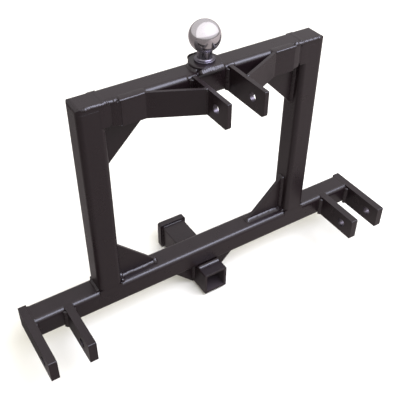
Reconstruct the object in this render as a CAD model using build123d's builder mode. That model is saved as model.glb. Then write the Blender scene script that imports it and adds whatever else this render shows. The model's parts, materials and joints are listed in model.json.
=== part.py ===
from build123d import *
import math
import os

# Three point receiver hitch for a Category 2 tractor linkage, in millimetres.
# The origin is the centre of the receiver's mouth. X runs across the tractor, Y points
# backwards out of the mouth, and Z points up. Left and right are as seen from the tractor.

# Square tube that the frame is welded from
tube_side = 57.15
tube_wall = 6.35
tube_corner = 11.5

# Receiver tube, its collar, and its place under the lower crossbar
receiver_side = 63.5
receiver_wall = 6.35
receiver_corner = 3.5
receiver_bore_corner = 1.6
receiver_length = 226.5
mouth_setback = 135.0
weld_root_gap = 2.5
collar_side = 76.2
collar_length = 16.0
collar_corner = 6.4
collar_fit = 0.2
hitch_pin = 15.875
hitch_pin_clearance = 0.2
hitch_pin_setback = 70.0

# Linkage: the spread between the two lower clevises, and the mast height above their pins
link_spread = 825.5
mast_height = 482.6

# Lower clevises
lower_pin = 22.225
lower_pin_clearance = 0.4
lower_gap = 69.85
lower_ear = 19.05
lower_ear_reach = 120.5
lower_pin_reach = 83.0
lower_ear_corner = 2.5

# Top link clevis
top_pin = 19.05
top_pin_clearance = 0.4
top_gap = 75.4
top_ear = 9.525
top_ear_reach = 124.8
top_pin_reach = 86.4
top_ear_toe = 8.0
top_ear_brow = 1.5

# Uprights and their caps
upright_spread = 584.2
cap_plate = 12.7
cap_round = 10.0

# Bent straps that brace the top link ears
strap = 6.35
strap_angle = 25.4
strap_bend = 152.0
strap_bend_inside = 6.0
strap_end = 205.0

# Flat gussets in the frame's corners, and beside the receiver
gusset_plate = 8.0
gusset_leg = 99.5
gusset_nose = 6.0
rib_plate = 8.0
rib_leg = 62.0
rib_height = 64.0
rib_setback = 19.0
rib_nose = 3.0

# Hitch ball, the pad under it, and its washer and nut
ball_diameter = 65.5
ball_height = 51.9
ball_crown = 9.0
neck_diameter = 31.2
neck_fillet = 3.0
foot_diameter = 44.0
foot_height = 4.5
foot_fillet = 4.0
foot_edge = 1.6
shank_diameter = 25.4
shank_clearance = 0.4
shank_spare = 7.0
shank_chamfer = 1.5
pad_diameter = 68.0
pad_height = 10.0
pad_edge = 1.5
washer_diameter = 38.9
washer_height = 6.35
washer_split = 3.0
nut_flats = 38.1
nut_height = 22.2
nut_crown_angle = 30.0

# Sizes and places that follow from those above
tube_bore = tube_side - 2 * tube_wall
tube_bore_corner = tube_corner - tube_wall
bar_back = -mouth_setback
bar_front = bar_back - tube_side
bar_middle = bar_back - tube_side / 2
bar_bottom = receiver_side / 2 + weld_root_gap
bar_top = bar_bottom + tube_side
pin_level = bar_bottom + tube_side / 2
top_pin_level = pin_level + mast_height
top_bar_bottom = top_pin_level - tube_side / 2
top_bar_top = top_pin_level + tube_side / 2
upright_inner = upright_spread / 2 - tube_side
upright_middle = upright_spread / 2 - tube_side / 2
lower_bar_end = link_spread / 2 + lower_gap / 2
top_ear_outer = top_gap / 2 + top_ear
shank_hole = shank_diameter / 2 + shank_clearance / 2
lower_pin_hole = lower_pin / 2 + lower_pin_clearance / 2
top_pin_hole = top_pin / 2 + top_pin_clearance / 2
hitch_pin_hole = hitch_pin / 2 + hitch_pin_clearance / 2
sides = (("left", -1), ("right", 1))

os.makedirs("parts", exist_ok=True)

# Lower crossbar: one length of square tube between the outer ears, which close its ends.
with BuildPart() as lower_crossbar:
    with BuildSketch(Plane.YZ.offset(-lower_bar_end)):
        with Locations((bar_middle, pin_level)):
            RectangleRounded(tube_side, tube_side, tube_corner)
            RectangleRounded(tube_bore, tube_bore, tube_bore_corner, mode=Mode.SUBTRACT)
    extrude(amount=2 * lower_bar_end)
lower_crossbar.part.label = "lower_crossbar"
export_step(lower_crossbar.part, "parts/lower_crossbar.step")

# Top crossbar: the same tube between the uprights, drilled through for the ball's shank.
with BuildPart() as top_crossbar:
    with BuildSketch(Plane.YZ.offset(-upright_inner)):
        with Locations((bar_middle, top_pin_level)):
            RectangleRounded(tube_side, tube_side, tube_corner)
            RectangleRounded(tube_bore, tube_bore, tube_bore_corner, mode=Mode.SUBTRACT)
    extrude(amount=2 * upright_inner)
    with BuildSketch(Plane.XY.offset(top_bar_bottom)):
        with Locations((0, bar_middle)):
            Circle(shank_hole)
    extrude(amount=tube_side, mode=Mode.SUBTRACT)
top_crossbar.part.label = "top_crossbar"
export_step(top_crossbar.part, "parts/top_crossbar.step")

# Uprights: square tube standing on the lower crossbar, each closed by a thick cap plate that
# is ground round at its outer and back edges.
for side, sign in sides:
    with BuildPart() as upright:
        with BuildSketch(Plane.XY.offset(bar_top)):
            with Locations((sign * upright_middle, bar_middle)):
                RectangleRounded(tube_side, tube_side, tube_corner)
                RectangleRounded(tube_bore, tube_bore, tube_bore_corner, mode=Mode.SUBTRACT)
        extrude(amount=top_bar_top - cap_plate - bar_top)
    upright.part.label = f"{side}_upright"
    export_step(upright.part, f"parts/{side}_upright.step")

    with BuildPart() as upright_cap:
        with BuildSketch(Plane.XY.offset(top_bar_top - cap_plate)):
            with Locations((sign * upright_middle, bar_middle)):
                RectangleRounded(tube_side, tube_side, tube_corner)
        extrude(amount=cap_plate)
        outwards = Align.MIN if sign > 0 else Align.MAX
        with BuildSketch(Plane.XZ.offset(-bar_middle)):
            with Locations((sign * (upright_spread / 2 - cap_round), top_bar_top - cap_round)):
                Rectangle(cap_round, cap_round, align=(outwards, Align.MIN))
                Circle(cap_round, mode=Mode.SUBTRACT)
        extrude(amount=tube_side, both=True, mode=Mode.SUBTRACT)
        with BuildSketch(Plane.YZ.offset(sign * upright_middle)):
            with Locations((bar_back - cap_round, top_bar_top - cap_round)):
                Rectangle(cap_round, cap_round, align=(Align.MIN, Align.MIN))
                Circle(cap_round, mode=Mode.SUBTRACT)
        extrude(amount=tube_side, both=True, mode=Mode.SUBTRACT)
    upright_cap.part.label = f"{side}_upright_cap"
    export_step(upright_cap.part, f"parts/{side}_upright_cap.step")

# Lower clevis ears: thick flat bar, as deep as the crossbar. The outer ear runs back over
# the end of the tube, and the inner ear butts on the tube's front face.
for side, sign in sides:
    for place, lean, ear_back in (("outer", 1, bar_back), ("inner", -1, bar_front)):
        ear_middle = sign * (link_spread / 2 + lean * (lower_gap + lower_ear) / 2)
        with BuildPart() as lower_ear_plate:
            with BuildSketch(Plane.YZ.offset(ear_middle)):
                with BuildLine():
                    Polyline(
                        (ear_back, bar_bottom),
                        (bar_front - lower_ear_reach, bar_bottom),
                        (bar_front - lower_ear_reach, bar_top),
                        (ear_back, bar_top),
                        close=True,
                    )
                make_face()
                with Locations((bar_front - lower_pin_reach, pin_level)):
                    Circle(lower_pin_hole, mode=Mode.SUBTRACT)
            extrude(amount=lower_ear / 2, both=True)
            front_edges = lower_ear_plate.edges().filter_by(Axis.X).group_by(Axis.Y)[0]
            fillet(front_edges, radius=lower_ear_corner)
        lower_ear_plate.part.label = f"lower_{side}_{place}_ear"
        export_step(lower_ear_plate.part, f"parts/lower_{side}_{place}_ear.step")

# Top link ears: flat plates, flush with the top crossbar above and below.
for side, sign in sides:
    with BuildPart() as top_link_ear:
        with BuildSketch(Plane.YZ.offset(sign * (top_gap + top_ear) / 2)):
            with BuildLine():
                Polyline(
                    (bar_front, top_bar_bottom),
                    (bar_front - top_ear_reach, top_bar_bottom),
                    (bar_front - top_ear_reach, top_bar_top),
                    (bar_front, top_bar_top),
                    close=True,
                )
            make_face()
            with Locations((bar_front - top_pin_reach, top_pin_level)):
                Circle(top_pin_hole, mode=Mode.SUBTRACT)
        extrude(amount=top_ear / 2, both=True)
        front_edges = top_link_ear.edges().filter_by(Axis.X).group_by(Axis.Y)[0]
        fillet(front_edges.sort_by(Axis.Z)[0], radius=top_ear_toe)
        front_edges = top_link_ear.edges().filter_by(Axis.X).group_by(Axis.Y)[0]
        fillet(front_edges.sort_by(Axis.Z)[-1], radius=top_ear_brow)
    top_link_ear.part.label = f"top_link_ear_{side}"
    export_step(top_link_ear.part, f"parts/top_link_ear_{side}.step")

# Brace straps: flat bar on edge. One leg lies on the crossbar's front face, and past the
# bend the other runs forwards to the ear's outer face, where it is cut to lie flat on it.
lean_angle = math.radians(strap_angle)
strap_run = strap_bend - top_ear_outer
strap_back_reach = strap_run * math.tan(lean_angle)
strap_front_reach = strap_back_reach + strap / math.cos(lean_angle)
strap_front_bend = strap_bend + strap * math.tan(lean_angle / 2)
for side, sign in sides:
    with BuildPart() as brace_strap:
        with BuildSketch(Plane.XY.offset(top_bar_bottom)):
            with BuildLine():
                Polyline(
                    (sign * strap_end, bar_front),
                    (sign * strap_bend, bar_front),
                    (sign * top_ear_outer, bar_front - strap_back_reach),
                    (sign * top_ear_outer, bar_front - strap_front_reach),
                    (sign * strap_front_bend, bar_front - strap),
                    (sign * strap_end, bar_front - strap),
                    close=True,
                )
            make_face()
        extrude(amount=tube_side)
        upright_edges = brace_strap.edges().filter_by(Axis.Z).sort_by(Axis.X, reverse=sign > 0)
        bend_edges = upright_edges[2:4].sort_by(Axis.Y)
        fillet(bend_edges[0], radius=strap_bend_inside)
        upright_edges = brace_strap.edges().filter_by(Axis.Z)
        outside_edge = upright_edges.sort_by_distance((sign * strap_bend, bar_front, top_pin_level))[0]
        fillet(outside_edge, radius=strap_bend_inside + strap)
    brace_strap.part.label = f"brace_strap_{side}"
    export_step(brace_strap.part, f"parts/brace_strap_{side}.step")

# Frame gussets: one plate size in all four corners, on the tube's middle plane. Each has
# two square legs and a sloping edge between two blunt noses.
for side, sign in sides:
    for place, level, rise in (("upper", top_bar_bottom, -1), ("lower", bar_top, 1)):
        with BuildPart() as frame_gusset:
            with BuildSketch(Plane.XZ.offset(-bar_middle)):
                with BuildLine():
                    Polyline(
                        (sign * upright_inner, level),
                        (sign * (upright_inner - gusset_leg), level),
                        (sign * (upright_inner - gusset_leg), level + rise * gusset_nose),
                        (sign * (upright_inner - gusset_nose), level + rise * gusset_leg),
                        (sign * upright_inner, level + rise * gusset_leg),
                        close=True,
                    )
                make_face()
            extrude(amount=gusset_plate / 2, both=True)
        frame_gusset.part.label = f"{place}_gusset_{side}"
        export_step(frame_gusset.part, f"parts/{place}_gusset_{side}.step")

# Receiver tube: square bore from end to end, cross-drilled for the hitch pin.
with BuildPart() as receiver_tube:
    with BuildSketch(Plane.XZ):
        RectangleRounded(receiver_side, receiver_side, receiver_corner)
        RectangleRounded(
            receiver_side - 2 * receiver_wall,
            receiver_side - 2 * receiver_wall,
            receiver_bore_corner,
            mode=Mode.SUBTRACT,
        )
    extrude(amount=receiver_length)
    with BuildSketch(Plane.YZ):
        with Locations((-hitch_pin_setback, 0)):
            Circle(hitch_pin_hole)
    extrude(amount=receiver_side, both=True, mode=Mode.SUBTRACT)
receiver_tube.part.label = "receiver_tube"
export_step(receiver_tube.part, "parts/receiver_tube.step")

# Receiver collar: a square ring around the mouth that stops the tube's end from spreading.
with BuildPart() as receiver_collar:
    with BuildSketch(Plane.XZ):
        RectangleRounded(collar_side, collar_side, collar_corner)
        RectangleRounded(
            receiver_side + 2 * collar_fit,
            receiver_side + 2 * collar_fit,
            receiver_corner + collar_fit,
            mode=Mode.SUBTRACT,
        )
    extrude(amount=collar_length)
receiver_collar.part.label = "receiver_collar"
export_step(receiver_collar.part, "parts/receiver_collar.step")

# Receiver ribs: a triangular plate at each side of the tube, up to the crossbar's underside.
for side, sign in sides:
    with BuildPart() as receiver_gusset:
        with BuildSketch(Plane.XZ.offset(-(bar_front + rib_setback))):
            with BuildLine():
                Polyline(
                    (sign * receiver_side / 2, bar_bottom),
                    (sign * (receiver_side / 2 + rib_leg), bar_bottom),
                    (sign * (receiver_side / 2 + rib_leg), bar_bottom - rib_nose),
                    (sign * (receiver_side / 2 + rib_nose), bar_bottom - rib_height),
                    (sign * receiver_side / 2, bar_bottom - rib_height),
                    close=True,
                )
            make_face()
        extrude(amount=-rib_plate)
    receiver_gusset.part.label = f"receiver_gusset_{side}"
    export_step(receiver_gusset.part, f"parts/receiver_gusset_{side}.step")

# Ball pad: a round plate welded on the top crossbar, drilled for the shank.
with BuildPart() as ball_pad:
    with BuildSketch(Plane.XY.offset(top_bar_top)):
        with Locations((0, bar_middle)):
            Circle(pad_diameter / 2)
            Circle(shank_hole, mode=Mode.SUBTRACT)
    extrude(amount=pad_height)
    chamfer(ball_pad.edges().group_by(Axis.Z)[-1].sort_by(SortBy.RADIUS)[-1], length=pad_edge)
ball_pad.part.label = "ball_pad"
export_step(ball_pad.part, "parts/ball_pad.step")

# Hitch ball: ball, neck, foot and shank turned from one bar. The shank passes the pad, the
# crossbar, the lock washer and the nut, and ends a little below the nut.
pad_top = top_bar_top + pad_height
ball_radius = ball_diameter / 2
ball_middle = pad_top + ball_height
neck_radius = neck_diameter / 2
crown_rise = math.sqrt(ball_radius**2 - ball_crown**2)
neck_drop = math.sqrt(ball_radius**2 - neck_radius**2)
shank_end = top_bar_bottom - washer_height - nut_height - shank_spare
with BuildPart() as hitch_ball:
    with BuildSketch(Plane.XZ.offset(-bar_middle)):
        with BuildLine():
            Line((0, shank_end), (0, ball_middle + crown_rise))
            Line((0, ball_middle + crown_rise), (ball_crown, ball_middle + crown_rise))
            ThreePointArc(
                (ball_crown, ball_middle + crown_rise),
                (ball_radius, ball_middle),
                (neck_radius, ball_middle - neck_drop),
            )
            Polyline(
                (neck_radius, ball_middle - neck_drop),
                (neck_radius, pad_top + foot_height),
                (foot_diameter / 2, pad_top + foot_height),
                (foot_diameter / 2, pad_top),
                (shank_diameter / 2, pad_top),
                (shank_diameter / 2, shank_end),
                (0, shank_end),
            )
        make_face()
    revolve(axis=Axis((0, bar_middle, 0), (0, 0, 1)))
    neck_seam = hitch_ball.edges().filter_by(GeomType.CIRCLE).sort_by_distance(
        (neck_radius, bar_middle, ball_middle - neck_drop)
    )[0]
    fillet(neck_seam, radius=neck_fillet)
    foot_seam = hitch_ball.edges().filter_by(GeomType.CIRCLE).sort_by_distance(
        (neck_radius, bar_middle, pad_top + foot_height)
    )[0]
    fillet(foot_seam, radius=foot_fillet)
    foot_rim = hitch_ball.edges().filter_by(GeomType.CIRCLE).sort_by_distance(
        (foot_diameter / 2, bar_middle, pad_top + foot_height)
    )[0]
    fillet(foot_rim, radius=foot_edge)
    chamfer(hitch_ball.edges().group_by(Axis.Z)[0], length=shank_chamfer)
hitch_ball.part.label = "hitch_ball"
export_step(hitch_ball.part, "parts/hitch_ball.step")

# Lock washer: a ring with one split, flat under the top crossbar.
with BuildPart() as ball_lock_washer:
    with BuildSketch(Plane.XY.offset(top_bar_bottom)):
        with Locations((0, bar_middle)):
            Circle(washer_diameter / 2)
            Circle(shank_hole, mode=Mode.SUBTRACT)
        with Locations((0, bar_middle + washer_diameter / 2)):
            Rectangle(washer_split, washer_diameter, mode=Mode.SUBTRACT)
    extrude(amount=-washer_height)
ball_lock_washer.part.label = "ball_lock_washer"
export_step(ball_lock_washer.part, "parts/ball_lock_washer.step")

# Nut: a plain hexagon, its lower corners turned back to a cone.
nut_top = top_bar_bottom - washer_height
nut_corner = nut_flats / math.sqrt(3)
crown_drop = (nut_corner - nut_flats / 2) * math.tan(math.radians(nut_crown_angle))
with BuildPart() as ball_nut:
    with BuildSketch(Plane.XY.offset(nut_top)):
        with Locations((0, bar_middle)):
            RegularPolygon(nut_flats / 2, 6, major_radius=False)
            Circle(shank_hole, mode=Mode.SUBTRACT)
    extrude(amount=-nut_height)
    with BuildSketch(Plane.XZ.offset(-bar_middle)):
        with BuildLine():
            Polyline(
                (0, nut_top),
                (nut_corner, nut_top),
                (nut_corner, nut_top - nut_height + crown_drop),
                (nut_flats / 2, nut_top - nut_height),
                (0, nut_top - nut_height),
                close=True,
            )
        make_face()
    revolve(axis=Axis((0, bar_middle, 0), (0, 0, 1)), mode=Mode.INTERSECT)
ball_nut.part.label = "ball_nut"
export_step(ball_nut.part, "parts/ball_nut.step")
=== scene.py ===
# %% [markdown]
# # A three point receiver hitch in satin black enamel
# The real object is a tractor hitch frame: square steel tube and plate, cut, welded and
# sprayed black, with a bright plated tow ball bolted on top. The solids with their true sizes
# come from the frame that is loaded first. Blender's work is what the eye reads on them: the
# skin of paint, the ripples of the weld beads, the mirror of the ball and soft light.

# %% Load the frame
import bmesh
import bpy
import json
import math
from mathutils import Matrix, Vector, noise


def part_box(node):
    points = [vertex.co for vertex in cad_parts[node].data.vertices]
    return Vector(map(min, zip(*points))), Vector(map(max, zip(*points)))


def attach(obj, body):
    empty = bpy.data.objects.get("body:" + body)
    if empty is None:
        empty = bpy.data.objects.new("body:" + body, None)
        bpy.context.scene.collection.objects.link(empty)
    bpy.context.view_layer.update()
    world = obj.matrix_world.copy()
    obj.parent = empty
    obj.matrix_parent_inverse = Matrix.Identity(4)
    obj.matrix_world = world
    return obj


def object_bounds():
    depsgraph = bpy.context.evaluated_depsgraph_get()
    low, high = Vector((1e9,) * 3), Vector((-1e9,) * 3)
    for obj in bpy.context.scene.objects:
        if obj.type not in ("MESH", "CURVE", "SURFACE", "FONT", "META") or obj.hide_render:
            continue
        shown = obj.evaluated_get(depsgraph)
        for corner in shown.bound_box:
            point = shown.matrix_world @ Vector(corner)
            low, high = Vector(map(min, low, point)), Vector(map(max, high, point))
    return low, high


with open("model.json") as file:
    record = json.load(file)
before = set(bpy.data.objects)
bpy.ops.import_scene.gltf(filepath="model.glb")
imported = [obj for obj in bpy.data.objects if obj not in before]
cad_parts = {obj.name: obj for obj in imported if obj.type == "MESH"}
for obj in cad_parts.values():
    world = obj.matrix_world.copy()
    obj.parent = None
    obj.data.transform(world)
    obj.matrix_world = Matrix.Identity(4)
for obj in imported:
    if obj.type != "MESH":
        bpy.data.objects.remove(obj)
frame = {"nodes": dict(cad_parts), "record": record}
cad_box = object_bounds()
nodes = frame["nodes"]
print("nodes in the frame:", len(nodes))

# %% [markdown]
# ## The camera
# A camera that stands where the photographer stood makes every edge fall where it should.
# Its place could be guessed by eye, but a few dozen corners of the object, whose sizes are
# known, fix it by least squares. The result is a place in metres, three angles and a focal
# length in pixels of a 400 pixel picture.

# %% The camera
camera_place = (-0.6383, -1.1543, 1.2086)
heading_deg = 32.45
dip_deg = 40.03
roll_deg = 0.44
focal_px = 654.3
picture_px = 400
sensor_mm = 36.0

lens = bpy.data.cameras.new("camera")
lens.sensor_width = sensor_mm
lens.lens = focal_px / picture_px * sensor_mm
lens.clip_start = 0.05
camera = bpy.data.objects.new("camera", lens)
bpy.context.scene.collection.objects.link(camera)
turn = Matrix.Rotation(math.radians(-heading_deg), 4, "Z")
tip = Matrix.Rotation(math.radians(90.0 - dip_deg), 4, "X")
roll = Matrix.Rotation(math.radians(roll_deg), 4, "Z")
camera.matrix_world = Matrix.Translation(camera_place) @ turn @ tip @ roll
bpy.context.scene.camera = camera
print(f"lens {lens.lens:.1f} mm on a {sensor_mm:.0f} mm sensor")

# %% [markdown]
# ## Two small helpers
# Colours are read off as the hex values that a screen shows, so one function turns them into
# the linear light that a renderer counts with. Every material is a small graph of nodes, and
# one function adds a node, sets it and wires it, which keeps each recipe short.

# %% Colour and node helpers
def linear(hex_colour, alpha=1.0):
    """The linear colour of an sRGB hex value such as 'a0b1c2'."""
    channels = [int(hex_colour[i:i + 2], 16) / 255 for i in (0, 2, 4)]
    bent = [c / 12.92 if c <= 0.04045 else ((c + 0.055) / 1.055) ** 2.4 for c in channels]
    return (*bent, alpha)


def add(tree, kind, inputs=None, **settings):
    """Adds a node: settings are its properties, inputs are values or links for its sockets."""
    node = tree.nodes.new(kind)
    for name, value in settings.items():
        setattr(node, name, value)
    for key, value in (inputs or {}).items():
        if isinstance(value, bpy.types.NodeSocket):
            tree.links.new(value, node.inputs[key])
        else:
            node.inputs[key].default_value = value
    return node


def new_material(name):
    """An empty material with its output, and its tree."""
    material = bpy.data.materials.new(name)
    material.use_nodes = True
    material.node_tree.nodes.clear()
    return material, material.node_tree


coat_dark, coat_light = linear("150d0f"), linear("1e1517")
print("black paint in linear light:", [round(c, 4) for c in coat_dark[:3]])

# %% [markdown]
# ## Two places that the spray leaves bare
# Pin holes are masked off before spraying or worn bright by the pins, so an ear's bore shows
# worn steel. The spray doesn't reach into the receiver either, and its bore keeps the dull brown
# scale of the mill. Both could be separate faces with a material of their own, but the solids
# stay as they are, so each is a mask over the paint, measured from the axis in real metres.

# %% Bare places
mask_play = 0.0002


def bare_bore(tree, place, coat, bore):
    """The coat everywhere but on the wall of a bore, a mount across X, which is worn steel."""
    from_axis = add(tree, "ShaderNodeVectorMath", {0: place, 1: bore["pos_m"]},
                    operation="SUBTRACT")
    across = add(tree, "ShaderNodeVectorMath", {0: from_axis.outputs[0], 1: (0, 1, 1)},
                 operation="MULTIPLY")
    reach = add(tree, "ShaderNodeVectorMath", {0: across.outputs[0]}, operation="LENGTH")
    wall = bore["dims"]["r_mm"] / 1000 + mask_play
    mask = add(tree, "ShaderNodeMapRange",
               {"Value": reach.outputs["Value"], "From Min": wall, "From Max": wall + 0.0004,
                "To Min": 1.0, "To Max": 0.0})
    steel = add(tree, "ShaderNodeBsdfPrincipled",
                {"Base Color": linear("5c575c"), "Metallic": 1.0, "Roughness": 0.38})
    return add(tree, "ShaderNodeMixShader",
               {0: mask.outputs["Result"], 1: coat.outputs[0], 2: steel.outputs[0]})


def scale_inside(tree, place, coat, half_bore):
    """The coat everywhere but inside a square tube along Y, which is in mill scale."""
    size = add(tree, "ShaderNodeVectorMath", {0: place}, operation="ABSOLUTE")
    sizes = add(tree, "ShaderNodeSeparateXYZ", {"Vector": size.outputs[0]})
    widest = add(tree, "ShaderNodeMath", {0: sizes.outputs["X"], 1: sizes.outputs["Z"]},
                 operation="MAXIMUM")
    mask = add(tree, "ShaderNodeMath", {0: widest.outputs[0], 1: half_bore + mask_play},
               operation="LESS_THAN")
    scale = add(tree, "ShaderNodeBsdfPrincipled",
                {"Base Color": linear("2c2427"), "Roughness": 0.6})
    return add(tree, "ShaderNodeMixShader",
               {0: mask.outputs[0], 1: coat.outputs[0], 2: scale.outputs[0]})


print(f"each mask reaches {mask_play * 1000:.1f} mm past its wall")

# %% [markdown]
# ## Satin black enamel
# The frame is sprayed with an alkyd enamel, satin black, straight over the welded steel.
# Sprayed enamel dries with a fine orange peel, waves 2 to 3 mm long, which breaks up every
# reflection. The steel below is hot rolled, so the paint also rolls gently over 30 to 60 mm.
# Upward faces keep a thin haze of dust, which makes them a little browner and lighter.
# Flat plates have edges that paint rounds off: a bevel in the shading gives each edge the thin
# bright line that it has on the real one, with no change to the solid.

# %% Satin black enamel
def satin_enamel(name, peel_mm=2.6, roll_mm=45.0, edge_mm=0.9, roughness=0.3, bore=None,
                 half_bore=None):
    """Satin enamel over steel, eased at its edges, but for a pin's bore or a tube's inside."""
    material, tree = new_material(name)
    place = add(tree, "ShaderNodeTexCoord").outputs["Object"]
    slow = add(tree, "ShaderNodeTexNoise",
               {"Vector": place, "Scale": 1000 / roll_mm, "Detail": 3.0, "Roughness": 0.55})
    peel = add(tree, "ShaderNodeTexNoise",
               {"Vector": place, "Scale": 1000 / peel_mm, "Detail": 2.0, "Roughness": 0.5})
    normal = add(tree, "ShaderNodeNewGeometry").outputs["Normal"]
    upward = add(tree, "ShaderNodeSeparateXYZ", {"Vector": normal}).outputs["Z"]
    haze = add(tree, "ShaderNodeMapRange",
               {"Value": upward, "From Min": 0.35, "From Max": 1.0, "To Min": 0.0, "To Max": 0.55})
    patch = add(tree, "ShaderNodeMath", {0: haze.outputs["Result"], 1: slow.outputs["Fac"]},
                operation="MULTIPLY")
    amount = add(tree, "ShaderNodeMath", {0: patch.outputs[0], 1: slow.outputs["Fac"], 2: 0.25},
                 operation="MULTIPLY_ADD")
    colour = add(tree, "ShaderNodeMix", {0: amount.outputs[0], 6: coat_dark, 7: coat_light},
                 data_type="RGBA")
    gloss = add(tree, "ShaderNodeMapRange",
                {"Value": slow.outputs["Fac"], "From Min": 0.3, "From Max": 0.7,
                 "To Min": roughness - 0.04, "To Max": roughness + 0.04})
    eased = add(tree, "ShaderNodeBevel", {"Radius": edge_mm / 1000}, samples=6)
    waves = add(tree, "ShaderNodeBump",
                {"Height": slow.outputs["Fac"], "Strength": 0.25, "Distance": 0.0012,
                 "Normal": eased.outputs["Normal"]})
    skin = add(tree, "ShaderNodeBump",
               {"Height": peel.outputs["Fac"], "Strength": 0.35, "Distance": 0.0002,
                "Normal": waves.outputs["Normal"]})
    coat = add(tree, "ShaderNodeBsdfPrincipled",
               {"Base Color": colour.outputs[2], "Roughness": gloss.outputs["Result"],
                "Normal": skin.outputs["Normal"], "IOR": 1.5})
    if bore:
        coat = bare_bore(tree, place, coat, bore)
    if half_bore:
        coat = scale_inside(tree, place, coat, half_bore)
    add(tree, "ShaderNodeOutputMaterial", {"Surface": coat.outputs[0]})
    return material


enamel = satin_enamel("satin_black_enamel")
print("orange peel of 2.6 mm is a noise scale of", round(1000 / 2.6), "per metre")

# %% [markdown]
# ## Enamel on weld metal, on ears and in the receiver
# The same paint lies thinner and smoother on a bead, because spray builds up and flows on a
# bulging form. It is glossier there, and each ripple catches the sky as a small bright line.
# Weld metal that was ground flush is painted like the tube, but has no plate edges to ease.
# The ears' bores and the receiver's inside come from the record's mounts and the real bore.

# %% Enamel on weld metal, on ears and in the receiver
mounts = {mount["name"]: mount for mount in frame["record"]["mounts"]}
receiver_half_bore = 0.0254
bead_enamel = satin_enamel("enamel_on_weld_bead", peel_mm=1.6, edge_mm=0.0, roughness=0.24)
ground_enamel = satin_enamel("enamel_on_ground_weld", edge_mm=0.0)
lower_ear_enamel = satin_enamel("enamel_with_lower_pin_bore", bore=mounts["lower_link_left_outer"])
top_ear_enamel = satin_enamel("enamel_with_top_pin_bore", bore=mounts["top_link"])
receiver_enamel = satin_enamel("enamel_with_scale_inside", half_bore=receiver_half_bore)
print("paints so far:", [material.name for material in bpy.data.materials])

# %% [markdown]
# ## Bright plated steel of the ball
# A tow ball is turned, ground and chrome plated. Chrome is a metal: nothing of it is diffuse,
# and its colour is a cool light grey. Grinding leaves it almost a mirror, with roughness
# under a tenth, but years of couplers leave a haze of fine scratches, which is a second, rough
# lobe mixed into the first. Fine turning rings lie about 0.4 mm apart. The neck and the foot are
# painted darker and made rougher, as painted shade for the dark surroundings that they mirror:
# darkest on the foot, a little lighter on the neck, and gone where the ball begins. Both
# changes come with the height above the pad.

# %% Bright plated steel
foot_top, neck_foot = 0.0040, 0.0100
neck_top, ball_foot = 0.0195, 0.0245


def bright_plate(name, tone, roughness, ring_mm, haze, painted_shade_from):
    """Chrome or zinc on a turned surface: a metal with very fine rings around the Z axis, with
    painted shade that makes it darker a little above the last argument's height. A height far
    below the part leaves it unshaded."""
    material, tree = new_material(name)
    place = add(tree, "ShaderNodeTexCoord").outputs["Object"]
    height = add(tree, "ShaderNodeSeparateXYZ", {"Vector": place}).outputs["Z"]
    rings = add(tree, "ShaderNodeTexNoise", {"W": height, "Scale": 1000 / ring_mm, "Detail": 1.0},
                noise_dimensions="1D")
    worn = add(tree, "ShaderNodeTexNoise", {"Vector": place, "Scale": 90.0, "Detail": 3.0})
    gloss = add(tree, "ShaderNodeMapRange",
                {"Value": worn.outputs["Fac"], "From Min": 0.35, "From Max": 0.75,
                 "To Min": roughness, "To Max": roughness + 0.05})
    grooves = add(tree, "ShaderNodeBump",
                  {"Height": rings.outputs["Fac"], "Strength": 0.08, "Distance": 0.00005})
    # Painted shade: below the ball the plate is painted darker greys, darkest on the foot, for the
    # dark surroundings that the neck and the foot mirror, and it is rougher there.
    on_neck = add(tree, "ShaderNodeMapRange",
                  {"Value": height, "From Min": painted_shade_from + foot_top,
                   "From Max": painted_shade_from + neck_foot}).outputs["Result"]
    on_ball = add(tree, "ShaderNodeMapRange",
                {"Value": height, "From Min": painted_shade_from + neck_top,
                 "From Max": painted_shade_from + ball_foot}).outputs["Result"]
    painted_shade = add(tree, "ShaderNodeMix", {0: on_neck, 6: linear("5e5a62"), 7: linear("8e8a92")},
                 data_type="RGBA").outputs[2]
    colour = add(tree, "ShaderNodeMix", {0: on_ball, 6: painted_shade, 7: linear(tone)},
                 data_type="RGBA").outputs[2]
    dull = add(tree, "ShaderNodeMapRange",
               {"Value": on_ball, "To Min": 0.22, "To Max": gloss.outputs["Result"]})
    mirror = add(tree, "ShaderNodeBsdfPrincipled",
                 {"Base Color": colour, "Metallic": 1.0, "Roughness": dull.outputs["Result"],
                  "Normal": grooves.outputs["Normal"]})
    scratched = add(tree, "ShaderNodeBsdfPrincipled",
                    {"Base Color": colour, "Metallic": 1.0, "Roughness": 0.5})
    both = add(tree, "ShaderNodeMixShader",
               {0: haze, 1: mirror.outputs[0], 2: scratched.outputs[0]})
    add(tree, "ShaderNodeOutputMaterial", {"Surface": both.outputs[0]})
    return material


# The painted shade on the neck and the foot is counted from the pad's top, and the zinc has none.
pad_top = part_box("ball_pad")[1].z
no_painted_shade = -1.0
chrome = bright_plate("chrome_plated_steel", "d6d2d4", 0.05, 0.4, 0.15, painted_shade_from=pad_top)
zinc = bright_plate("zinc_plated_steel", "b9babd", 0.28, 0.6, 0.1, painted_shade_from=no_painted_shade)
print(f"grease from {pad_top * 1000:.0f} mm to {(pad_top + ball_foot) * 1000:.0f} mm above zero")

# %% [markdown]
# ## Dressing the solids
# The record gives each node a slot, and the slot says what the maker would call its finish. The
# ears and the receiver take the paint with their own bare places.

# %% Dressing the solids
finish_of_slot = {"black_paint": enamel, "polished_ball": chrome, "zinc_fastener": zinc}
for part in frame["record"]["subparts"]:
    name = part["node"]
    finish = finish_of_slot[part["material_slot"]]
    if name == "receiver_tube":
        finish = receiver_enamel
    elif name.startswith("top_link_ear"):
        finish = top_ear_enamel
    elif name.endswith("_ear"):
        finish = lower_ear_enamel
    mesh = nodes[name].data
    mesh.materials.clear()
    mesh.materials.append(finish)

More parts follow.
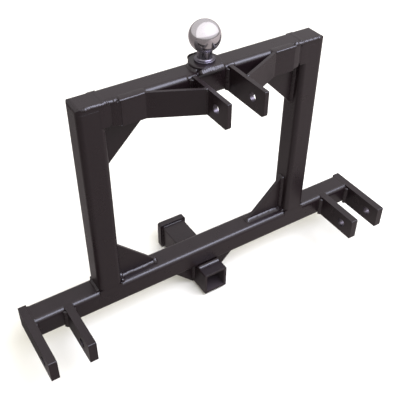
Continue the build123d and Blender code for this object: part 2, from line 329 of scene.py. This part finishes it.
# %% [markdown]
# ## Weld beads
# A fillet weld is a row of small puddles that froze one after the other, so its face bulges a
# little and carries crescent ripples, and it swells and narrows as the welder's hand moved.
# It could be faked with a bump map, but beads stand proud and break the outline of a corner,
# so they are real meshes here. A seam is a list of stations, and each station has a root
# inside the joint and two toes, one on each wall. The bead is a convex curve from toe to toe,
# swept along the stations, pushed in and out by the ripples and rounded off at its ends.

# %% Seams
def straight(start, end, arm_a, arm_b):
    """Stations of a straight seam, whose toes lie at two fixed arms from its root."""
    arm_a, arm_b = Vector(arm_a), Vector(arm_b)
    roots = (Vector(start), Vector(end))
    return [(root, root + arm_a, root + arm_b) for root in roots]


def around(points, up, out_leg, up_leg):
    """Stations that follow the foot of a plate. The bead lies right of the way, seen from up."""
    up = Vector(up)
    points = [Vector(point) for point in points]
    outwards = [(b - a).normalized().cross(up) for a, b in zip(points, points[1:])]
    stations = []
    for i, point in enumerate(points):
        before = outwards[max(0, i - 1)]
        after = outwards[min(i, len(outwards) - 1)]
        turns = 1 if before.angle(after) < 0.02 else 7
        for j in range(turns):
            out = before.lerp(after, j / max(1, turns - 1)).normalized()
            stations.append((point, point + out * out_leg, point + up * up_leg))
    return stations


print("a plate's foot with one corner has", len(around([(0, 0, 0), (1, 0, 0), (1, 1, 0)],
                                                       (0, 0, 1), 0.006, 0.006)), "stations")

# %% [markdown]
# ## Laying a bead on its seam
# The ripples are about 3 mm apart, as a steady hand leaves them, and arch forward in the
# middle, where the puddle stayed liquid longest. Slow noise along the seam varies the width,
# with a seed of its own for each bead, so no two are alike and each run gives the same ones.

# %% Bead maker
across_steps = 9
along_step = 0.0008
arch = 0.9


def lay_bead(rows, faces, seam, seed, crown=1.4, pitch=0.003, ripple=0.1, ends=0.004, wander=0.14):
    """Adds one bead to rows and faces. A crown of 1 is flat from toe to toe, and 2 is round."""
    middles = [(root + toe_a + toe_b) / 3 for root, toe_a, toe_b in seam]
    spans = [(b - a).length for a, b in zip(middles, middles[1:])]
    run = sum(spans)
    steps = max(8, int(run / along_step))
    first, ring = len(rows), across_steps + 2
    leg, passed = 0, 0.0
    for i in range(steps + 1):
        along = run * i / steps
        while leg < len(spans) - 1 and along > passed + spans[leg]:
            passed += spans[leg]
            leg += 1
        share = min(1.0, (along - passed) / max(spans[leg], 1e-9))
        root, toe_a, toe_b = (a.lerp(b, share) for a, b in zip(seam[leg], seam[leg + 1]))
        from_end = min(1.0, max(0.0, min(along, run - along)) / ends)
        size = 0.03 + 0.97 * math.sqrt(1 - (1 - from_end) ** 2)
        size *= 1 + wander * noise.noise(Vector((along * 110, seed * 7.3, 0)))
        lean = 1 + wander * noise.noise(Vector((along * 80, seed * 3.1, 9)))
        arm_a, arm_b = (toe_a - root) * size * lean, (toe_b - root) * size / lean
        beat = along / pitch + 0.5 * noise.noise(Vector((along * 70, seed, 3)))
        rows.append(root - (arm_a + arm_b) * 0.08)
        for k in range(across_steps + 1):
            angle = math.pi / 2 * k / across_steps
            lag = math.sin(2 * angle)
            bulge = (math.cos(angle) ** crown + math.sin(angle) ** crown) ** (-1 / crown)
            wave = math.sqrt(1 - ((beat + arch * lag) % 1.0) ** 2) - 0.6
            reach = bulge * (1 + ripple * wave * math.sqrt(max(0.0, lag)))
            rows.append(root + (arm_a * math.cos(angle) + arm_b * math.sin(angle)) * reach)
    for i in range(steps):
        for k in range(ring):
            a, b = first + i * ring + k, first + i * ring + (k + 1) % ring
            faces.append((a, b, b + ring, a + ring))
    faces.append([first + k for k in reversed(range(ring))])
    faces.append([first + steps * ring + k for k in range(ring)])


print(f"stations every {along_step * 1000:.1f} mm, {across_steps + 1} points from toe to toe")

# %% [markdown]
# ## A piece of weld metal
# All beads of one joint are one object, as they are one piece of metal. The faces are smooth,
# but a toe meets the plate in a real edge, so edges over 55 degrees stay sharp.

# %% Weld maker
toe_angle = math.radians(55)


def weld(name, beads, finish=bead_enamel):
    """One piece of weld metal from a list of beads, each a seam and its settings."""
    rows, faces = [], []
    for number, (seam, settings) in enumerate(beads):
        lay_bead(rows, faces, seam, seed=len(name) + number, **settings)
    mesh = bpy.data.meshes.new(name)
    mesh.from_pydata(rows, [], faces)
    shape = bmesh.new()
    shape.from_mesh(mesh)
    bmesh.ops.recalc_face_normals(shape, faces=shape.faces)
    shape.to_mesh(mesh)
    shape.free()
    mesh.polygons.foreach_set("use_smooth", [True] * len(mesh.polygons))
    mesh.set_sharp_from_angle(angle=toe_angle)
    mesh.materials.append(finish)
    piece = bpy.data.objects.new(name, mesh)
    bpy.context.scene.collection.objects.link(piece)
    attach(piece, "root")
    print(name, "has", len(beads), "beads and", len(mesh.polygons), "faces")


# %% [markdown]
# ## Places read from the solids
# The seams follow from the solids: each comes from the boxes of the pieces that it joins, so
# no bead can drift off its joint. The frame is the same left and right, so a side is the sign
# of its X, and the tube's corner radius is the one number that a box can't tell.

# %% Places read from the frame
bar_low, bar_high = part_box("lower_crossbar")
beam_low, beam_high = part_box("top_crossbar")
tube_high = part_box("receiver_tube")[1]
front, back, middle = bar_low.y, bar_high.y, (bar_low.y + bar_high.y) / 2
tube_corner = 0.0115
flat_front, flat_back = front + tube_corner, back - tube_corner
inner = beam_high.x
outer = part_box("right_upright")[1].x
cap_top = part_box("right_upright_cap")[1].z
sides = (("left", -1), ("right", 1))
print(f"uprights from x {inner:.4f} to {outer:.4f} m, bar from y {front:.4f} to {back:.4f} m")

# %% [markdown]
# ## Feet of the uprights
# An upright stands square on the lower bar, and plain fillets close its two sides. At the left
# upright's inner front corner the welder stopped with a blob: a short, fat bead.

# %% Feet of the uprights
side_leg = 0.006
foot_beads = []
for side, sign in sides:
    for x, away in ((outer, sign), (inner, -sign)):
        foot_beads.append((straight(
            (sign * x, flat_front - 0.005, bar_high.z), (sign * x, flat_back + 0.005, bar_high.z),
            (away * side_leg, 0, 0), (0, 0, side_leg)), {}))
blob_x, blob_z = 0.002 - inner, bar_high.z - 0.002
foot_beads.append((straight(
    (blob_x, flat_front - 0.007, blob_z), (blob_x, flat_front + 0.014, blob_z),
    (0.0100, -0.002, 0.001), (0, -0.002, 0.0105)),
    {"crown": 1.7, "ripple": 0.1, "pitch": 0.0075, "ends": 0.007}))
weld("weld_upright_feet", foot_beads)

# %% [markdown]
# ## Front edges of the caps
# A cap is ground smooth at its outer and back edges, which the solid has. Only its front edge
# keeps a bead, which starts on the strap's end, swells three times and curls round the corner.

# %% Front edges of the caps
edge_inset, edge_leg = 0.0033, 0.0058
edge_way = ((0.212, edge_inset, 0.0035), (0.2765, edge_inset, 0.0035), (0.2855, 0.0062, 0.0052),
            (0.2885, 0.0100, 0.0090))
swellings = ((0.206, 0.016), (0.226, 0.009), (0.268, 0.011))
cap_beads = []
for side, sign in sides:
    edge = [Vector((sign * x, front + inset, cap_top - drop)) for x, inset, drop in edge_way]
    cap_beads.append(([(point, point + Vector((0, -edge_leg, 0)), point + Vector((0, 0, edge_leg)))
                       for point in edge],
                      {"crown": 1.65, "ripple": 0.12, "pitch": 0.0046, "wander": 0.16}))
    for x, length in swellings:
        cap_beads.append((straight(
            (sign * x, front + edge_inset, cap_top - 0.0034),
            (sign * (x + length), front + edge_inset, cap_top - 0.0034),
            (0, -0.0070, 0), (0, 0, 0.0068)),
            {"crown": 1.7, "ends": length / 2, "pitch": 0.006}))
weld("weld_upright_caps", cap_beads)

# %% [markdown]
# ## Joints that are filled and ground
# Where tubes cross, their rounded edges leave grooves: between foot and bar, and between the
# cap's inner end and the crossbar. They are welded full and ground until both faces run into
# each other, so the fill is almost flat from toe to toe, has no ripples, and is painted like
# the tube.

# %% Joints that are filled and ground
def upright_fills(sign):
    """The fills of one upright: at its foot and at its cap, in front and behind, and on top."""
    seam = sign * (inner - 0.001)
    fills = []
    for face, inward in ((front, 1), (back, -1)):
        fills.append((straight(
            (seam, face + inward * 0.009, bar_high.z - 0.006),
            (sign * (outer + 0.001), face + inward * 0.009, bar_high.z - 0.006),
            (0, -inward * 0.0091, -0.0085), (0, -inward * 0.0091, 0.0100)),
            {"crown": 1.02, "ripple": 0.0, "ends": 0.002, "wander": 0.0}))
    for face, inward in ((front, 1), (back, -1)):
        fills.append((straight(
            (seam, face + inward * 0.006, beam_low.z + 0.002),
            (seam, face + inward * 0.006, cap_top - 0.002),
            (-sign * 0.006, -inward * 0.0062, 0), (sign * 0.0125, -inward * 0.0062, 0)),
            {"crown": 1.04, "ripple": 0.01, "ends": 0.002, "wander": 0.01}))
    ridge, level = sign * (inner - 0.0005), cap_top - 0.0045
    fills.append((straight(
        (ridge, front + 0.006, level), (ridge, back - 0.006, level),
        (-sign * 0.005, 0, 0.0046), (sign * 0.004, 0, 0.0046)),
        {"crown": 1.05, "ripple": 0.01, "ends": 0.003, "wander": 0.02}))
    return fills


ground_fills = [fill for side, sign in sides for fill in upright_fills(sign)]
weld("ground_fill_uprights", ground_fills, finish=ground_enamel)

# %% [markdown]
# ## Frame gussets
# Each corner plate has a bead along both legs, and the bead turns round the plate's blunt nose
# and comes back along the other face. On the left the bead along the bar is thin and has a
# puddle of metal at each end, and on the right it is wide and smooth.

# %% Frame gussets
thin_leg, wide_leg, post_leg = 0.0062, 0.0080, 0.0066
puddle_leg, puddle_length = 0.0105, 0.013
for place, level, rise in (("upper", beam_low.z, -1), ("lower", bar_high.z, 1)):
    beads = []
    for side, sign in sides:
        low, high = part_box(f"{place}_gusset_{side}")
        tip_x = sign * min(abs(low.x), abs(high.x))
        tip_z = low.z if rise < 0 else high.z
        wall_x = sign * inner
        along_bar = [(wall_x, low.y, level), (tip_x, low.y, level), (tip_x, high.y, level),
                     (wall_x, high.y, level)]
        along_post = [(wall_x, low.y, level), (wall_x, low.y, tip_z), (wall_x, high.y, tip_z),
                      (wall_x, high.y, level)]
        if sign * rise > 0:
            along_bar.reverse()
        else:
            along_post.reverse()
        if side == "left":
            beads.append((around(along_bar, (0, 0, rise), thin_leg, 0.0058), {"ripple": 0.12}))
            for x in (tip_x - sign * 0.004, wall_x - sign * puddle_length):
                beads.append((straight(
                    (x, low.y + 0.001, level), (x + sign * puddle_length, low.y + 0.001, level),
                    (0, -puddle_leg, 0), (0, 0, rise * puddle_leg)),
                    {"crown": 1.3, "ends": 0.0055}))
        else:
            beads.append((around(along_bar, (0, 0, rise), wide_leg, wide_leg),
                          {"crown": 1.2, "ripple": 0.03, "wander": 0.06}))
        beads.append((around(along_post, (-sign, 0, 0), post_leg, post_leg), {"ripple": 0.08}))
    weld(f"weld_{place}_gussets", beads)

# %% [markdown]
# ## Brace straps
# A strap lies on the crossbar's face, so grooves are left above and below it along the bar's
# rounded edges, which are filled flush. Its own top edge is rolled over with a thin bead. The
# inner end, cut at a slant, is sealed to the ear by a thin fillet with a dab on top, and the
# outer end is closed by a wide fill that slopes down to the upright and is ground.

# %% Brace straps
ear_in, ear_out = (corner.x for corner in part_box("top_link_ear_right"))
strap_low, strap_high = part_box("brace_strap_right")
strap_bend = 0.152
strap_face = front - 0.00635
strap_beads, end_beads = [], []
for side, sign in sides:
    for level, inward in ((beam_high.z, -1), (beam_low.z, 1)):
        strap_beads.append((straight(
            (sign * (strap_bend - 0.006), front + 0.002, level + inward * 0.006),
            (sign * (strap_high.x + 0.004), front + 0.002, level + inward * 0.006),
            (0, -0.0074, -inward * 0.0061), (0, 0.0105, -inward * 0.0061)),
            {"crown": 1.1, "ripple": 0.03, "ends": 0.006, "wander": 0.02}))
    end_x = sign * (strap_high.x + 0.0015)
    end_beads.append((straight(
        (end_x, front + 0.001, beam_low.z + 0.001), (end_x, front + 0.001, beam_high.z - 0.002),
        (-sign * 0.0058, -0.0074, 0), (sign * 0.0165, -0.0012, 0)),
        {"crown": 1.1, "ripple": 0.01, "ends": 0.002, "wander": 0.02}))
    strap_beads.append((straight(
        (sign * (strap_bend + 0.001), strap_face + 0.0026, beam_high.z - 0.0026),
        (sign * (strap_high.x + 0.004), strap_face + 0.0026, beam_high.z - 0.0026),
        (0, -0.0038, 0), (0, 0, 0.0038)),
        {"crown": 1.9, "ripple": 0.04, "wander": 0.1, "ends": 0.003}))
    strap_beads.append((straight(
        (sign * ear_out, strap_low.y + 0.0008, beam_low.z + 0.003),
        (sign * ear_out, strap_low.y + 0.0008, beam_high.z - 0.002),
        (sign * 0.0034, 0.0016, 0), (0, -0.0036, 0)), {"crown": 1.1, "ripple": 0.04}))
    strap_beads.append((straight(
        (sign * (ear_out - 0.001), strap_low.y - 0.001, beam_high.z - 0.003),
        (sign * (ear_out + 0.003), strap_low.y + 0.009, beam_high.z - 0.003),
        (-sign * 0.0024, 0, 0.0038), (sign * 0.005, 0, 0.0032)), {"crown": 1.8, "ends": 0.004}))
weld("weld_brace_straps", strap_beads)
weld("weld_strap_ends", end_beads, finish=ground_enamel)

# %% [markdown]
# ## Top link ears
# Each ear has an upright fillet in both of its corners with the bar. Above it, where the bar's
# rounded edge falls away from the ear's square one, a rounder bead bridges the notch.

# %% Top link ears
ear_leg = 0.0065
ear_beads = []
for side, sign in sides:
    for x, away in ((ear_out, sign), (ear_in, -sign)):
        ear_beads.append((straight(
            (sign * x, front, beam_low.z + 0.001), (sign * x, front, beam_high.z - 0.004),
            (away * ear_leg, 0, 0), (0, -ear_leg, 0)), {"ripple": 0.06}))
    ear_beads.append((straight(
        (sign * (ear_in - 0.009), front + 0.008, beam_high.z - 0.008),
        (sign * (ear_out + 0.012), front + 0.008, beam_high.z - 0.008),
        (0, -0.0092, 0.0005), (0, 0.001, 0.0085)), {"crown": 2.4, "ends": 0.007, "ripple": 0.08}))
weld("weld_top_link_ears", ear_beads)

# %% [markdown]
# ## The ball's pad
# The pad carries the whole pull of a trailer, so in front and behind, where it overhangs the
# bar, it has the heaviest beads: a slow weave with ribs 5 mm apart, from the pad's top over its
# rim and under it to the bar's face. Its broad, nearly flat face leans back at 45 degrees and
# mirrors the window. Both sides have a plain fillet round the pad's foot.

# %% Pad weld
weave_steps = 12
pad_low, pad_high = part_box("ball_pad")
pad_radius = (pad_high.x - pad_low.x) / 2
pad_beads = []
for face, facing, near, far in ((front, -1, -0.033, 0.027), (back, 1, -0.020, 0.020)):
    weave = []
    for i in range(weave_steps + 1):
        x = near + (far - near) * i / weave_steps
        root = Vector((x, face - facing * 0.001, pad_low.z - 0.001))
        fade = 1 - 0.22 * (x / pad_radius) ** 2
        weave.append((root, root + Vector((0, facing * 0.0143 * fade, 0.0046 * fade)),
                      root + Vector((0, facing * 0.0055 * fade, 0.0133 * fade))))
    pad_beads.append((weave, {"crown": 1.14, "pitch": 0.0050, "ripple": 0.06, "ends": 0.006,
                              "wander": 0.04}))
for turn in (0.0, math.pi):
    arc = []
    for i in range(weave_steps + 1):
        angle = turn + math.radians(-33 + 66 * i / weave_steps)
        out = Vector((math.cos(angle), math.sin(angle), 0))
        root = Vector((0, middle, pad_low.z)) + out * pad_radius
        arc.append((root, root + out * 0.0045, root + Vector((0, 0, 0.0045))))
    pad_beads.append((arc, {"crown": 1.2, "ripple": 0.04}))
weld("weld_ball_pad", pad_beads)

# %% [markdown]
# ## Lower link ears
# The thick lower ears have an upright fillet in each corner with the bar. Where an inner ear
# butts on the bar's rounded edge, the notch on top and below is filled flush, and a low, smooth
# bead runs along the top and the underside where the outer ear closes the bar's end.

# %% Lower link ears
corner_leg = 0.007
lower_beads = []
for side, sign in sides:
    near, far = sorted(abs(corner.x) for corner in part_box(f"lower_{side}_inner_ear"))
    shelf = min(abs(corner.x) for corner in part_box(f"lower_{side}_outer_ear"))
    for x, away in ((near, -sign), (far, sign), (shelf, -sign)):
        lower_beads.append((straight(
            (sign * x, front, bar_low.z - 0.001), (sign * x, front, bar_high.z - 0.005),
            (away * corner_leg, 0, 0), (0, -corner_leg, 0)), {"ripple": 0.07}))
    for level, inward in ((bar_high.z, -1), (bar_low.z, 1)):
        lower_beads.append((straight(
            (sign * (near - 0.003), front + 0.004, level + inward * 0.006),
            (sign * (far + 0.003), front + 0.004, level + inward * 0.006),
            (0, -0.0075, -inward * 0.0061), (0, 0.009, -inward * 0.0061)),
            {"crown": 1.08, "ripple": 0.03, "ends": 0.005, "wander": 0.03}))
        lower_beads.append((straight(
            (sign * shelf, flat_front - 0.006, level + inward * 0.002),
            (sign * shelf, back - 0.004, level + inward * 0.002),
            (-sign * 0.0045, 0, -inward * 0.0019), (sign * 0.004, 0, -inward * 0.0019)),
            {"crown": 1.2, "ripple": 0.02, "wander": 0.05}))
weld("weld_lower_ears", lower_beads)

# %% [markdown]
# ## Receiver
# The receiver hangs under the bar by a bead across its top in front and behind, which is hollow
# rather than round and so draws one thin bright line. Ribs stand beside it, with a fillet on
# each face, down the receiver's wall and out under the bar.

# %% Receiver and its ribs
half = tube_high.x
rib_leg = 0.006
receiver_beads, rib_beads = [], []
for face, facing in ((front, -1), (back, 1)):
    receiver_beads.append((straight(
        (-half + 0.001, face - facing * 0.002, tube_high.z - 0.0008),
        (half - 0.001, face - facing * 0.002, tube_high.z - 0.0008),
        (0, facing * 0.010, 0.0009), (0, facing * 0.0022, 0.0075)),
        {"crown": 0.72, "ripple": 0.02, "ends": 0.004, "wander": 0.04}))
for side, sign in sides:
    low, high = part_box(f"receiver_gusset_{side}")
    tip = sign * max(abs(low.x), abs(high.x))
    for y, facing in ((low.y, -1), (high.y, 1)):
        rib_beads.append((straight(
            (sign * half, y, low.z + 0.002), (sign * half, y, high.z),
            (sign * rib_leg, 0, 0), (0, facing * rib_leg, 0)), {}))
        rib_beads.append((straight(
            (sign * half, y, high.z), (tip - sign * 0.002, y, high.z),
            (0, facing * rib_leg, 0), (0, 0, -rib_leg)), {}))
weld("weld_receiver", receiver_beads)
weld("weld_receiver_gussets", rib_beads)

# %% [markdown]
# ## Collar
# The collar round the receiver's mouth has a small hollow fillet all round on its tractor side.
# The ring of stations is built quarter by quarter, so it turns each rounded corner in steps.

# %% Collar
collar_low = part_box("receiver_collar")[0]
turn_in, turns = 0.007, 4
across = half - turn_in
ring = []
for quarter in range(4):
    for bend in range(turns + 1):
        swing = math.radians(90 * (quarter + bend / turns))
        centre = Vector((across if quarter in (0, 3) else -across, collar_low.y,
                         across if quarter in (0, 1) else -across))
        out = Vector((math.cos(swing), 0, math.sin(swing)))
        root = centre + out * turn_in
        ring.append((root, root + out * 0.0030, root + Vector((0, -0.0026, 0))))
ring.append(ring[0])
weld("weld_receiver_collar", [(ring, {"crown": 0.6, "ripple": 0.02})])

# %% [markdown]
# ## The floor
# The object stands on a plain white floor. Satin black mirrors whatever lies in front of it, and
# a white floor would turn its faces grey, so the floor shows glossy rays a card of its own, which
# glows from dark grey on the left to light grey on the right, with the frame's own shade as a
# dark band under the lower bar. The ground stays clean and white, as in a cut-out photograph,
# and each face gets the shade that its side of the room gives it.

# %% Floor
floor_reach = 9.0
floor_gap = 0.0004
card_left, card_right = 0.25, 0.66
shade_y, shade_dark = -0.12, 0.4
bpy.ops.mesh.primitive_plane_add(size=2 * floor_reach, location=(0, 0, cad_box[0].z - floor_gap))
floor = bpy.context.object
floor.name = "floor"
floor_paint, floor_tree = new_material("matt_white_floor")
grain = add(floor_tree, "ShaderNodeTexNoise", {"Scale": 3.0, "Detail": 2.0})
tone = add(floor_tree, "ShaderNodeMix",
           {0: grain.outputs["Fac"], 6: linear("e8e6d8"), 7: linear("efeddf")}, data_type="RGBA")
matt = add(floor_tree, "ShaderNodeBsdfDiffuse", {"Color": tone.outputs[2]})
spot = add(floor_tree, "ShaderNodeSeparateXYZ",
           {"Vector": add(floor_tree, "ShaderNodeTexCoord").outputs["Object"]})
card = add(floor_tree, "ShaderNodeMapRange",
           {"Value": spot.outputs["X"], "From Min": -0.9, "From Max": 1.0,
            "To Min": card_left, "To Max": card_right})
from_shade = add(floor_tree, "ShaderNodeMath", {0: spot.outputs["Y"], 1: -shade_y},
                 operation="ADD")
distance = add(floor_tree, "ShaderNodeMath", {0: from_shade.outputs[0]}, operation="ABSOLUTE")
under_bar = add(floor_tree, "ShaderNodeMapRange",
                {"Value": distance.outputs[0], "From Min": 0.05, "From Max": 0.12,
                 "To Min": shade_dark, "To Max": 1.0})
glow = add(floor_tree, "ShaderNodeMath",
           {0: card.outputs["Result"], 1: under_bar.outputs["Result"]}, operation="MULTIPLY")
dim = add(floor_tree, "ShaderNodeEmission",
          {"Color": linear("fff3f3"), "Strength": glow.outputs[0]})
ray = add(floor_tree, "ShaderNodeLightPath")
either = add(floor_tree, "ShaderNodeMixShader",
             {0: ray.outputs["Is Glossy Ray"], 1: matt.outputs[0], 2: dim.outputs[0]})
add(floor_tree, "ShaderNodeOutputMaterial", {"Surface": either.outputs[0]})
floor.data.materials.append(floor_paint)
print(f"floor {2 * floor_reach:.0f} m wide, mirrored from {card_left} to {card_right} bright")

# %% [markdown]
# ## The window
# Black satin paint shows little of its own colour: what is seen on it is the room, so each
# light stands where a face mirrors it. A bright window high in front draws the line along the
# rounded edge of every tube. It is a rectangle of light, placed by its azimuth and its rise.

# %% The window
window_azimuth, window_rise = math.radians(30), math.radians(56)
window_distance, window_width, window_height = 3.0, 3.4, 1.7
window_radiance = 9.0
window_aim = Vector((0.0, -0.16, 0.35))

window = bpy.data.lights.new("front_window", "AREA")
window.shape = "RECTANGLE"
window.size, window.size_y = window_width, window_height
window.energy = window_radiance * math.pi * window_width * window_height
window.color = linear("e2e5ff")[:3]
lamp = bpy.data.objects.new("front_window", window)
bpy.context.scene.collection.objects.link(lamp)
towards = Vector((math.sin(window_azimuth) * math.cos(window_rise),
                  -math.cos(window_azimuth) * math.cos(window_rise), math.sin(window_rise)))
lamp.location = window_aim + towards * window_distance
lamp.rotation_euler = (-towards).to_track_quat("-Z", "Y").to_euler()
seen_wide, seen_high = (math.degrees(2 * math.atan(side / 2 / window_distance))
                        for side in (window_width, window_height))
print(f"window: {seen_wide:.0f} by {seen_high:.0f} degrees")

# %% [markdown]
# ## The sky
# The dome around the window is a pale grey that the top faces mirror, dark below the horizon.
# The open white sky lies in front, from just above the horizon to a little behind the zenith,
# and is the large white patch on the ball: two planes through the middle bound it, and the
# least distance from them tells how far inside a direction lies. In a low view the dome itself
# would show its dark and white zones, so what is seen directly is a plain pale wall.

# %% The sky
front_rim, back_rim = math.radians(17), math.radians(31)
open_sky = (1.4, 1.38, 1.4, 1)

sky = bpy.data.worlds.new("studio_sky")
bpy.context.scene.world = sky
sky.use_nodes = True
tree = sky.node_tree
tree.nodes.clear()
way = add(tree, "ShaderNodeTexCoord").outputs["Generated"]
height = add(tree, "ShaderNodeSeparateXYZ", {"Vector": way}).outputs["Z"]
blend = add(tree, "ShaderNodeMapRange",
            {"Value": height, "From Min": -0.05, "From Max": 0.1, "To Min": 0.0, "To Max": 1.0})
shade = add(tree, "ShaderNodeMix",
            {0: blend.outputs["Result"], 6: linear("6a6660"), 7: linear("e0ddde")},
            data_type="RGBA")
over_front = add(tree, "ShaderNodeVectorMath",
                 {0: way, 1: (0, math.sin(front_rim), math.cos(front_rim))},
                 operation="DOT_PRODUCT")
over_back = add(tree, "ShaderNodeVectorMath",
                {0: way, 1: (0, -math.cos(back_rim), math.sin(back_rim))},
                operation="DOT_PRODUCT")
inside = add(tree, "ShaderNodeMath",
             {0: over_front.outputs["Value"], 1: over_back.outputs["Value"]},
             operation="MINIMUM")
bright = add(tree, "ShaderNodeMapRange",
             {"Value": inside.outputs[0], "From Min": -0.02, "From Max": 0.06})
overhead = add(tree, "ShaderNodeMix",
               {0: bright.outputs["Result"], 6: shade.outputs[2], 7: open_sky},
               data_type="RGBA")
seen = add(tree, "ShaderNodeLightPath")
backdrop = add(tree, "ShaderNodeMix",
               {0: seen.outputs["Is Camera Ray"], 6: overhead.outputs[2], 7: linear("f1f0ec")},
               data_type="RGBA")
dome = add(tree, "ShaderNodeBackground", {"Color": backdrop.outputs[2], "Strength": 1.0})
add(tree, "ShaderNodeOutputWorld", {"Surface": dome.outputs[0]})
bpy.context.scene.view_settings.view_transform = "Standard"
print("sky nodes:", len(tree.nodes))
